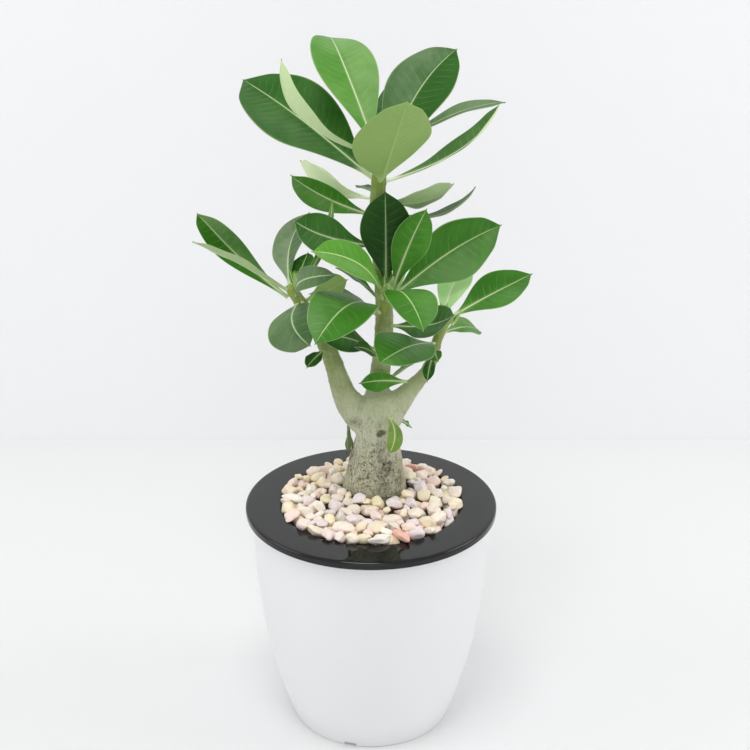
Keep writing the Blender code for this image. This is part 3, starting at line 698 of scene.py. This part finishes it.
def build_liner():
    underside = BRIM_TOP - BRIM_PLATE
    lip_bottom = BRIM_TOP - BRIM_LIP
    lip_inside = BRIM_RADIUS - BRIM_LIP_WIDTH
    profile = [(0, CUP_BASE), (CUP_BASE_RADIUS, CUP_BASE), (cup_radius(underside) + CUP_WALL, underside),
               (lip_inside, underside)]
    profile += arc(lip_inside + LIP_FOOT_ROUND, lip_bottom + LIP_FOOT_ROUND, LIP_FOOT_ROUND, 180, 270, 4)
    profile += arc(BRIM_RADIUS - LIP_FOOT_ROUND, lip_bottom + LIP_FOOT_ROUND, LIP_FOOT_ROUND, 270, 360, 4)
    profile += arc(BRIM_RADIUS - BRIM_ROUND, BRIM_TOP - BRIM_ROUND, BRIM_ROUND, 0, 90)
    profile += [(BRIM_RADIUS - BRIM_ROUND - i * BRIM_RING_STEP, BRIM_TOP) for i in range(1, BRIM_RINGS + 1)]
    profile += arc(OPENING_RADIUS + OPENING_ROUND, BRIM_TOP - OPENING_ROUND, OPENING_ROUND, 90, 180)
    floor = CUP_BASE + CUP_WALL
    profile += [(cup_radius(floor), floor), (0, floor)]
    liner = turned("liner_shell", profile)
    drains = []
    for cosine, sine in circle(DRAINS):
        bm = bmesh.new()
        bmesh.ops.create_cone(bm, cap_ends=True, segments=DRAIN_SIDES, radius1=DRAIN_RADIUS,
                              radius2=DRAIN_RADIUS, depth=6 * CUP_WALL)
        place = (DRAIN_CIRCLE * cosine, DRAIN_CIRCLE * sine, CUP_BASE)
        bmesh.ops.translate(bm, verts=bm.verts, vec=place)
        drains.append(as_object("drain", bm))
    cut(liner, drains)
    dress(liner, black_look(), "black_plastic", "liner")


# Pebbles
def from_trunk(x, y):
    """Distance from the trunk where it leaves the pebbles. x and y are numbers or arrays."""
    trunk_x, trunk_y, _, trunk_radius = BED_TRUNK
    return np.hypot(x - trunk_x, y - trunk_y) - trunk_radius


def bed_top(x, y):
    """Height of the bed of pebbles, which rises towards the trunk."""
    share = np.clip(1 - from_trunk(x, y) / (BED_HEART_REACH - BED_TRUNK[3]), 0, 1)
    return BED_EDGE_TOP + (BED_HEART_TOP - BED_EDGE_TOP) * share


def stone_surfaces(halves, turn, us, vs):
    """Heights of the under and upper side of a turned ellipsoid over its middle, nan beside it."""
    shape = np.array(turn) @ np.diag([1 / half ** 2 for half in halves]) @ np.array(turn).T
    slope = shape[0, 2] * us + shape[1, 2] * vs
    rest = shape[0, 0] * us ** 2 + 2 * shape[0, 1] * us * vs + shape[1, 1] * vs ** 2 - 1
    inside = slope ** 2 - shape[2, 2] * rest
    root = np.sqrt(np.where(inside > 0, inside, np.nan))
    return (-slope - root) / shape[2, 2], (-slope + root) / shape[2, 2]


def lay_stones():
    """Drops the stones one by one, each where it comes to lie lowest. Yields halves, turn and place.
    They lie on the grit in the opening or the brim round it, and the trunk is a wall to them."""
    draw = random.Random(STONE_SEED)
    cells = int(2 * HEAP_HALF / HEAP_CELL)
    axis = (np.arange(cells) - cells / 2 + 0.5) * HEAP_CELL
    xs, ys = np.meshgrid(axis, axis, indexing="ij")
    bed = bed_top(xs, ys)
    ground = bed - GRIT_DEPTH
    ground[np.hypot(xs, ys) > OPENING_RADIUS] = BRIM_TOP
    ground[from_trunk(xs, ys) < -TRUNK_SINK] = 1
    for i in range(STONES):
        size = draw.uniform(*SMALL_SIZES) if i >= STONES - SMALL_STONES else 1
        halves = [size * draw.uniform(low, high) * MM for low, high in STONE_HALVES]
        hard = [STONE_HARD * half for half in halves]
        wide = int(halves[0] / HEAP_CELL) + 1
        inner = EDGE_SHARE if i % EDGE_EACH == 0 else 0
        best = None
        for _ in range(STONE_TRIES):
            away, angle = STONE_REACH * math.sqrt(draw.uniform(inner, 1)), draw.uniform(0, math.tau)
            x, y = away * math.cos(angle), away * math.sin(angle)
            tilts = [draw.uniform(-most, most) for most in STONE_TILTS]
            turn = Euler((*tilts, draw.uniform(0, math.tau))).to_matrix()
            row, column = int(x / HEAP_CELL + cells / 2), int(y / HEAP_CELL + cells / 2)
            window = (slice(row - wide, row + wide + 1), slice(column - wide, column + wide + 1))
            under, upper = stone_surfaces(hard, turn, xs[window] - x, ys[window] - y)
            lies = np.nanmax(ground[window] - under)
            stands = lies + np.nanmax(upper) - bed[row, column]
            if best is None or stands < best[0]:
                best = (stands, lies, x, y, turn, window, upper)
        stands, lies, x, y, turn, window, upper = best
        if stands < HEAP_RISE:
            ground[window] = np.fmax(ground[window], lies + upper)
            yield halves, turn, Vector((x, y, lies))


def worn_radius(direction, flats):
    """Radius of a stone of size 1 in this direction: a ball whose worn flats leave blunt corners."""
    radius = STONE_BALL
    for normal, depth in flats:
        facing = direction.dot(normal)
        if facing > FLAT_FACING:
            near = depth / facing
            nearness = math.exp(-BLUNTNESS * radius) + math.exp(-BLUNTNESS * near)
            radius = -math.log(nearness) / BLUNTNESS
    return radius


def stone(halves, draw, subdivisions):
    """A bmesh of one worn, angular stone."""
    bm = bmesh.new()
    bmesh.ops.create_icosphere(bm, subdivisions=subdivisions, radius=1)
    flats = []
    for _ in range(STONE_FLATS):
        normal = Vector([draw.gauss(0, 1) for _ in range(3)]).normalized()
        flats.append((normal, draw.uniform(*FLAT_DEPTHS)))
    shift = Vector([draw.uniform(0, 50) for _ in range(3)])
    for vertex in bm.verts:
        direction = vertex.co.normalized()
        swell = 1.04 + 0.14 * noise.noise(direction * 1.2 + shift) + 0.03 * noise.noise(direction * 5 + shift)
        vertex.co = direction * worn_radius(direction, flats) * swell
    bmesh.ops.scale(bm, verts=bm.verts, vec=halves)
    return bm


def add_stone(heap, tint, one, place, colour):
    """Moves one stone into the heap. Tint is the heap's colour layer."""
    copies = {}
    for vertex in one.verts:
        copies[vertex] = heap.verts.new(place @ vertex.co)
        copies[vertex][tint] = (*colour, 1)
    for face in one.faces:
        heap.faces.new([copies[vertex] for vertex in face.verts])
    one.free()


def stone_colour(draw, middle, salmon_left):
    """A pale colour, or salmon for the first stone on top near each place that is left."""
    for place in list(salmon_left):
        if math.dist(place, (middle.x / MM, middle.y / MM)) < SALMON_NEAR and middle.z > BRIM_TOP:
            salmon_left.remove(place)
            return Vector(SALMON)
    return Vector(draw.choice(STONE_COLOURS)) * draw.uniform(*STONE_SHADES)


def build_pebbles():
    """The stones lie in two pieces: the large ones and the small ones between them."""
    draw = random.Random(STONE_SEED + 1)
    heaps = {"pebble_stones": bmesh.new(), "small_stones": bmesh.new()}
    tints = {name: heap.verts.layers.float_color.new("stone") for name, heap in heaps.items()}
    salmon_left = list(SALMON_PLACES)
    for halves, turn, middle in lay_stones():
        small = halves[0] < STONE_HALVES[0][0] * MM
        name = "small_stones" if small else "pebble_stones"
        place = Matrix.Translation(middle) @ turn.to_4x4()
        one = stone(halves, draw, 3 if small else 4)
        add_stone(heaps[name], tints[name], one, place, stone_colour(draw, middle, salmon_left))
    look = pebble_look()
    dress(as_object("pebble_stones", heaps["pebble_stones"]), look, "pebble", "pebbles")
    dress(as_object("small_stones", heaps["small_stones"]), look, "pebble")


def build_bed():
    """Grit that shows between the stones."""
    reach = cup_radius(BED_EDGE_TOP) - GAP
    bm = bmesh.new()
    rings = []
    for i in range(BED_RINGS + 1):
        ring = []
        for cosine, sine in circle(BED_SIDES):
            x, y = reach * i / BED_RINGS * cosine, reach * i / BED_RINGS * sine
            lump = noise.noise(Vector((x, y, 0)) * 320) * GRIT_LUMP
            ring.append(bm.verts.new((x, y, bed_top(x, y) - GRIT_DEPTH + lump)))
        rings.append(ring)
    rings.append([bm.verts.new((v.co.x, v.co.y, SOIL_TOP + GAP)) for v in rings[-1]])
    join_rings(bm, rings)
    bm.faces.new(rings[-1])
    bmesh.ops.remove_doubles(bm, verts=bm.verts, dist=0.01 * MM)
    dress(as_object("pebble_bed", bm), grit_look(), "pebble")


# Trunk and stems
def smooth_path(rows):
    """Stations along a Catmull-Rom curve through the given ones: centre and radius in metres."""
    points = [Vector(row) * MM for row in rows]
    points = [points[0] * 2 - points[1]] + points + [points[-1] * 2 - points[-2]]
    path = []
    for a, b, c, d in zip(points, points[1:], points[2:], points[3:]):
        for k in range(STEM_SUBSTEPS):
            t = k / STEM_SUBSTEPS
            path.append(0.5 * (2 * b + (c - a) * t + (2 * a - 5 * b + 4 * c - d) * t * t
                               + (3 * b - a - 3 * c + d) * t ** 3))
    path.append(points[-2])
    return [(point.to_3d(), max(point.w, STEM_LEAST)) for point in path]


def add_tube(bm, path):
    rings = []
    for i, (centre, radius) in enumerate(path):
        heading = path[min(i + 1, len(path) - 1)][0] - path[max(i - 1, 0)][0]
        turn = UP.rotation_difference(heading)
        spots = [centre + turn @ Vector((*spot, 0)) * radius for spot in circle(STEM_SIDES)]
        rings.append([bm.verts.new(spot) for spot in spots])
    join_rings(bm, rings)
    bm.faces.new(rings[0][::-1])
    bm.faces.new(rings[-1])


def scar_share(point):
    """1 in the middle of the scar and 0 outside it."""
    if point.y > 10 * MM:
        return 0.0
    across = (point.x - SCAR.x) / SCAR_HALVES[0]
    up = (point.z - SCAR.z) / SCAR_HALVES[1]
    return max(0.0, 1 - math.hypot(across, up) * (0.85 + 0.3 * noise.noise(point * 500)))


def grime_and_shade_share(point):
    """How dark the bark is at this point of the trunk, with age and dirt, and with painted shade where shade
    falls.
    """
    total = 0.0
    for x, height, half_width, half_height, strength in GRIME_AND_SHADE:
        away = ((point.x / MM - x) / half_width) ** 2 + ((point.z / MM - height) / half_height) ** 2
        total += strength * math.exp(-away)
    return min(1, total) * (1 - ease(point.y, 8 * MM, 16 * MM))


def bark_relief(point):
    """How far the bark stands out at this point in metres, with thin rings left by fallen leaves."""
    old = 1 - ease(point.z / MM, *ROUGH_ENDS)
    grain = noise.noise(Vector((point.x * 210, point.y * 210, point.z * 38)))
    lump = noise.noise(point * 95)
    fine = noise.noise(point * 420)
    relief = (0.75 * grain + 0.35 * lump) * old + (0.22 * fine + 0.12 * grain)
    shift = noise.noise(point * 60) * 6 * MM
    phase = (point.z + shift) / RING_SPACING % 1
    relief += 0.3 * max(0, 1 - abs(phase - 0.5) / 0.09) * (1 - old)
    relief -= 2.0 * scar_share(point)
    return relief * MM


def bark_tint(point, tips):
    """Colour of the bark, greener up the stems and yellow-green near the shoot tips."""
    height = point.z / MM
    for (low, first), (high, second) in zip(BARK_TINTS, BARK_TINTS[1:]):
        if height <= high:
            break
    colour = Vector(first).lerp(Vector(second), ease(height, low, high))
    if point.x < -4 * MM and point.z > 200 * MM:
        colour = colour.lerp(LEFT_TINT, 0.7 * ease(-point.x / MM, *LEFT_ENDS))
    near_tip = max(1 - ease((point - tip).length / MM, *TIP_ENDS) for tip in tips)
    colour = colour.lerp(TIP_TINT, 0.75 * near_tip)
    return colour.lerp(SCAR_TINT, min(1, 2.2 * scar_share(point)))


def smooth(bm, verts):
    bmesh.ops.smooth_vert(bm, verts=verts, factor=0.5, use_axis_x=True, use_axis_y=True, use_axis_z=True)


def build_trunk():
    paths = [smooth_path(rows) for rows in STEMS.values()]
    tips = [path[-1][0] for path in paths[1:]]  # the trunk comes first and has no shoot
    bm = bmesh.new()
    for path in paths:
        add_tube(bm, path)
    body = as_object("bark_body", bm)
    remesh = body.modifiers.new("remesh", "REMESH")
    remesh.mode = "VOXEL"
    remesh.voxel_size = BARK_VOXEL
    apply_modifiers(body)
    bm = bmesh.new()
    bm.from_mesh(body.data)
    smooth(bm, bm.verts)
    forks = [v for v in bm.verts if any(low * MM < v.co.z < high * MM for low, high in FORKS)]
    for _ in range(FORK_SMOOTHINGS):
        smooth(bm, forks)
    bm.normal_update()
    moves = [v.normal * bark_relief(v.co) for v in bm.verts]
    tint = bm.verts.layers.float_color.new("tint")
    age = bm.verts.layers.float.new("age")
    # How dark each place on the front of the trunk is, with grime and with painted shade
    grime_and_shade = bm.verts.layers.float.new("grime_and_shade")
    for vertex, move in zip(bm.verts, moves):
        vertex[tint] = (*bark_tint(vertex.co, tips), 1)
        vertex[age] = 1 - 0.8 * ease(vertex.co.z / MM, *AGE_ENDS)
        vertex[grime_and_shade] = grime_and_shade_share(vertex.co)
        vertex.co += move
    bm.to_mesh(body.data)
    bm.free()
    body.data.shade_smooth()
    dress(body, bark_look(), "bark", "trunk")


# Leaves
def stem_at(stem, height):
    """Centre, direction and radius of a stem where it passes this height."""
    stations = [(Vector(row[:3]) * MM, row[3] * MM) for row in STEMS[stem]]
    for (low, low_radius), (high, high_radius) in zip(stations, stations[1:]):
        if height <= high.z or high is stations[-1][0]:
            share = min(1, (height - low.z) / (high.z - low.z))
            radius = low_radius + (high_radius - low_radius) * share
            return low.lerp(high, share), (high - low).normalized(), radius
    raise ValueError(stem)


def midrib(leaf):
    """Frames along the leaf: point, heading, side and up, from its seat on the stem to its tip."""
    azimuth, elevation = math.radians(leaf.azimuth), math.radians(leaf.elevation)
    aim = Vector((math.cos(elevation) * math.cos(azimuth), math.cos(elevation) * math.sin(azimuth),
                  math.sin(elevation)))
    centre, axis, radius = stem_at(leaf.stem, leaf.height * MM)
    out = (aim - axis * aim.dot(axis)).normalized()
    side = UP.cross(aim).normalized()
    side.rotate(turn_about(aim, leaf.roll))
    stalk = PETIOLE_HALF * abs(side.dot(out)) + PETIOLE_THICKNESS / 2 * abs(aim.cross(side).dot(out))
    point = centre + out * (radius + GAP + stalk)
    frames = []
    for i in range(LEAF_STEPS + 1):
        share = i / LEAF_STEPS
        late = share ** BEND_LATENESS
        across = side.copy()
        across.rotate(turn_about(aim, leaf.twist, share))
        heading = aim.copy()
        heading.rotate(turn_about(across, -leaf.bend, late))
        swing = turn_about(aim.cross(across), leaf.sway, late)
        heading.rotate(swing)
        across.rotate(swing)
        frames.append((point, heading, across, heading.cross(across)))
        point = point + heading * leaf.length * MM / LEAF_STEPS
    return frames


def frame_at(frames, share):
    position = share * LEAF_STEPS
    low = min(int(position), LEAF_STEPS - 1)
    return [a.lerp(b, position - low) for a, b in zip(frames[low], frames[low + 1])]


def blade_half(leaf, share):
    """Half the blade's width: narrow at the stalk, widest at the belly, with a short point at the tip."""
    arch = math.sin(math.pi * min(share, 0.9995) ** leaf.belly)
    taper = 1.25 - 0.65 * share + 0.26 * ease(share, 0.88, 1)
    half = PETIOLE_HALF * (1 - share) + leaf.width * MM / 2 * arch ** taper
    return max(half, BLADE_LEAST)


def blade_thickness(share, across, off):
    """Thickness above and below the middle surface, at a distance off the midrib in metres."""
    half = (MARGIN_THICKNESS + (BLADE_THICKNESS - MARGIN_THICKNESS) * (1 - across * across)) / 2
    above = half - GROOVE_DEPTH * (1 - share) * math.exp(-(off / (0.7 * RIB_HALF)) ** 2)
    below = half + RIB_HEIGHT * (1 - share) * math.exp(-(off / RIB_HALF) ** 2)
    round_half = PETIOLE_THICKNESS / 2 * math.sqrt(max(0.02, 1 - across * across))
    stalk = 1 - ease(share, 0, PETIOLE_END)
    return above + (round_half - above) * stalk, below + (round_half - below) * stalk


def blade_rows():
    """Shares of the length for the rows of a blade, closer together near the tip."""
    for i in range(BLADE_ROWS + 1):
        even = i / BLADE_ROWS
        yield 0.4 * even + 0.6 * math.sin(math.pi / 2 * even)


def build_blade(name, leaf, seed):
    """One leaf as a closed sheet with a groove above its midrib, a keel below and a waved margin."""
    draw = random.Random(seed)
    phases = (draw.uniform(0, 1), draw.uniform(0, 1))
    waves = draw.uniform(1.6, 2.6)
    frames = midrib(leaf)
    fold = math.radians(leaf.fold)
    bm = bmesh.new()
    blade = bm.verts.layers.float_vector.new("blade")
    reach = bm.verts.layers.float_vector.new("reach")
    upper, lower = [], []
    for share in blade_rows():
        point, heading, side, up = frame_at(frames, share)
        half = blade_half(leaf, share)
        point = point - heading * max(0, 1 - share / FOOT_SHARE) * FOOT_SINK
        rows = ([], [])
        for j in range(BLADE_COLUMNS + 1):
            even = 2 * j / BLADE_COLUMNS - 1
            across = math.copysign(abs(even) ** 1.25, even)
            off = across * half
            rise = half * math.sin(fold) * (math.sqrt(across * across + 0.06) - math.sqrt(0.06))
            swing = math.sin(math.tau * (waves * share + phases[across > 0]))
            ends = ease(share, 0.1, 0.4) * min(1, 6 * (1 - share))
            rise += leaf.wave * MM * swing * across * across * ends
            tip = MUCRO * max(0, share - MUCRO_START) / (1 - MUCRO_START) * (1 - abs(across))
            middle = point + side * off * math.cos(fold) + up * rise + heading * tip
            for row, sign, thick in zip(rows, (1, -1), blade_thickness(share, across, abs(off))):
                vertex = bm.verts.new(middle + up * sign * thick)
                vertex[blade] = (share, across, (sign + 1) / 2)
                # The third value is how much painted sheen the leaf has
                vertex[reach] = (share * leaf.length, off / MM, leaf.painted_sheen)
                row.append(vertex)
        upper.append(rows[0])
        lower.append(rows[1])
    for i in range(BLADE_ROWS):
        for j in range(BLADE_COLUMNS):
            for rows in (upper, lower):
                bm.faces.new((rows[i][j], rows[i + 1][j], rows[i + 1][j + 1], rows[i][j + 1]))
        for j in (0, BLADE_COLUMNS):
            bm.faces.new((upper[i][j], upper[i + 1][j], lower[i + 1][j], lower[i][j]))
    for i in (0, -1):
        bm.faces.new(upper[i] + lower[i][::-1])
    return as_object(name, bm, 75)


def build_leaves():
    """The leaves, and young ones at the shoot tips."""
    looks = {tone: leaf_look(tone) for tone in TONES}
    for seed, (name, leaf) in enumerate(LEAVES.items()):
        blade = build_blade("blade_" + name, leaf, seed)
        slot = "leaf_bright" if name in BRIGHT_NODES else "leaf_dark"
        dress(blade, looks[leaf.tone], slot, "leaf_" + name)
    for stem, (height, count, shortest, longest) in SPROUTS.items():
        for i in range(count):
            share = i / (count - 1)
            length = longest + (shortest - longest) * share
            lift = SPROUT_LIFTS[0] + (SPROUT_LIFTS[1] - SPROUT_LIFTS[0]) * share
            leaf = Leaf(stem, height - SPROUT_DEPTH * (1 - share), GOLDEN_TURN * i, lift, length,
                        SPROUT_WIDTH * length, 0, 18, 0, 0, fold=30, belly=1.2, wave=0.1)
            sprout = build_blade(f"sprout_{stem}_{i + 1}", leaf, 100 + i)
            dress(sprout, looks["young"], "leaf_bright")


# Stage, light and camera
def add_sheet(name, corners, look):
    mesh = bpy.data.meshes.new(name)
    mesh.from_pydata(corners, [], [(0, 1, 2, 3)])
    mesh.materials.append(look.material)
    return add_object(name, mesh)


def build_stage():
    look = Look("floor_paper", (0.8, 0.8, 0.8), Roughness=0.9)
    look.shade(Base_Color=look.mix(look.noise(3, 2), (0.79, 0.79, 0.79), (0.81, 0.81, 0.81)))
    floor = add_sheet("floor", FLOOR_CORNERS, look)
    look = Look("backdrop_paper", (0.86, 0.86, 0.87), Roughness=0.95)
    back = look.node("ShaderNodeNewGeometry").outputs["Backfacing"]
    clear = look.node("ShaderNodeBsdfTransparent").outputs[0]
    mixed = look.node("ShaderNodeMixShader", {0: back, 1: look.shader.outputs[0], 2: clear})
    look.plug(look.tree.nodes["Material Output"].inputs["Surface"], mixed.outputs[0])
    wall = add_sheet("backdrop", WALL_CORNERS, look)
    wall.location.y = WALL_DISTANCE


def build_light():
    world = bpy.data.worlds.new("white_tent")
    world.use_nodes = True
    background = world.node_tree.nodes["Background"]
    background.inputs["Color"].default_value = (0.985, 0.99, 1, 1)
    background.inputs["Strength"].default_value = 0.7
    SCENE.world = world
    for name, place, height, size, power in LIGHTS:
        light = bpy.data.lights.new(name, "AREA")
        light.shape = "DISK"
        light.size = size
        light.energy = power
        lamp = add_object(name, light)
        lamp.location = place
        lamp.rotation_euler = (UP * height - Vector(place)).to_track_quat("-Z", "Y").to_euler()
    SCENE.view_settings.view_transform = "Standard"


def build_camera():
    camera = bpy.data.cameras.new("camera")
    camera.lens = CAMERA_LENS
    camera.sensor_width = CAMERA_SENSOR
    camera.clip_start = 0.02
    camera.clip_end = 30
    obj = add_object("camera", camera)
    obj.location = CAMERA_PLACE
    obj.rotation_euler = (math.radians(90 - CAMERA_PITCH), 0, 0)
    SCENE.camera = obj


build_outer_pot()
build_liner()
build_pebbles()
build_bed()
build_trunk()
build_leaves()
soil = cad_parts["soil"]
soil.data.materials.clear()
soil.data.materials.append(soil_look().material)
build_stage()
build_light()
build_camera()

bpy.context.view_layer.update()
